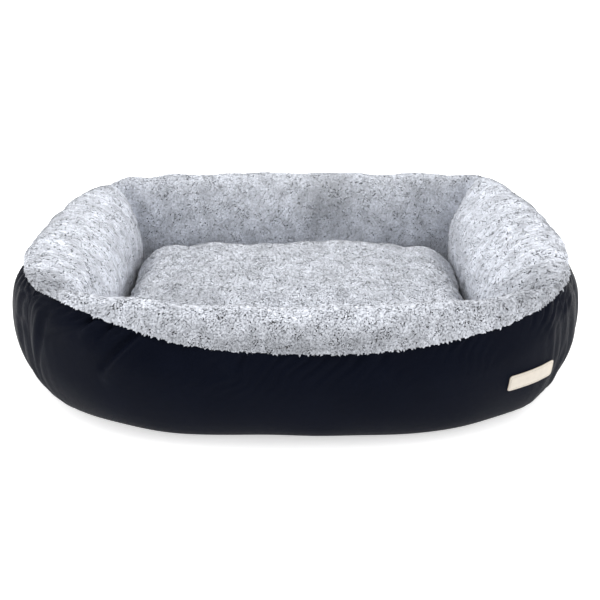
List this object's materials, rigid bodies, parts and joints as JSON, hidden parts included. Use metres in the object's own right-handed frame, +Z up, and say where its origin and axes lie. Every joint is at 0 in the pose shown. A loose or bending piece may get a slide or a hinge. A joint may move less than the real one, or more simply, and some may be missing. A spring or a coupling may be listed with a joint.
{
  "type": "pet cushion bed",
  "caption": "Rectangular pet bed: stuffed plush-topped walls in a dark woven shell round a well with a loose zipped plush cushion, blank patch on the front.",
  "frame": {"origin": "on the floor, under the middle of the bed's bounding box", "axes": "+X along the long side, to the right as seen from the low front; -Y is the front with the patch, +Y the back wall; +Z up"},
  "size_m": [0.898, 0.6588, 0.2169],
  "materials": {
    "fur": "silver-grey plush with short curled tufts",
    "shell_nylon": "blue-black woven nylon with a satin sheen",
    "base_canvas": "matt black woven cloth",
    "lining": "matt grey woven cloth",
    "polyester_fibre": "white loose polyester fibre",
    "case_cloth": "thin white non-woven cloth",
    "patch": "beige woven patch, blank",
    "thread": "tan sewing thread",
    "zip_tape": "black woven tape",
    "zip_coil": "black nylon coil",
    "zip_metal": "dark nickel-plated metal"
  },
  "bodies": {
    "bed": {"fur_front": "fur", "fur_back": "fur", "fur_left": "fur", "fur_right": "fur", "shell_front": "shell_nylon", "shell_back": "shell_nylon", "shell_left": "shell_nylon", "shell_right": "shell_nylon", "fill_front": "polyester_fibre", "fill_back": "polyester_fibre", "fill_left": "polyester_fibre", "fill_right": "polyester_fibre", "base_panel": "base_canvas", "base_wadding": "polyester_fibre", "well_floor_lining": "lining", "patch": "patch", "patch_stitching": "thread"},
    "cushion": {"cushion_top_cover": "fur", "cushion_bottom_cover": "shell_nylon", "cushion_case_top": "case_cloth", "cushion_case_bottom": "case_cloth", "cushion_fill": "polyester_fibre", "zip_tape_upper": "zip_tape", "zip_tape_lower": "zip_tape", "zip_coil_upper": "zip_coil", "zip_coil_lower": "zip_coil", "zip_stop_left": "zip_metal", "zip_stop_right": "zip_metal"},
    "zip_slider": {"zip_slider": "zip_metal"},
    "zip_pull": {"zip_pull": "zip_metal"}
  },
  "joints": [
    {"name": "cushion_lift", "type": "slide", "parent": "bed", "child": "cushion", "axis": [0, 0, 1], "range_m": [0, 0.3]},
    {"name": "zip_travel", "type": "slide", "parent": "cushion", "child": "zip_slider", "axis": [-1, 0, 0], "range_m": [0, 0.3484]},
    {"name": "pull_swing", "type": "hinge", "parent": "zip_slider", "child": "zip_pull", "pos_m": [0.1742, 0.20775, 0.0431], "axis": [0, 0, 1], "range_deg": [0, 45]}
  ]
}
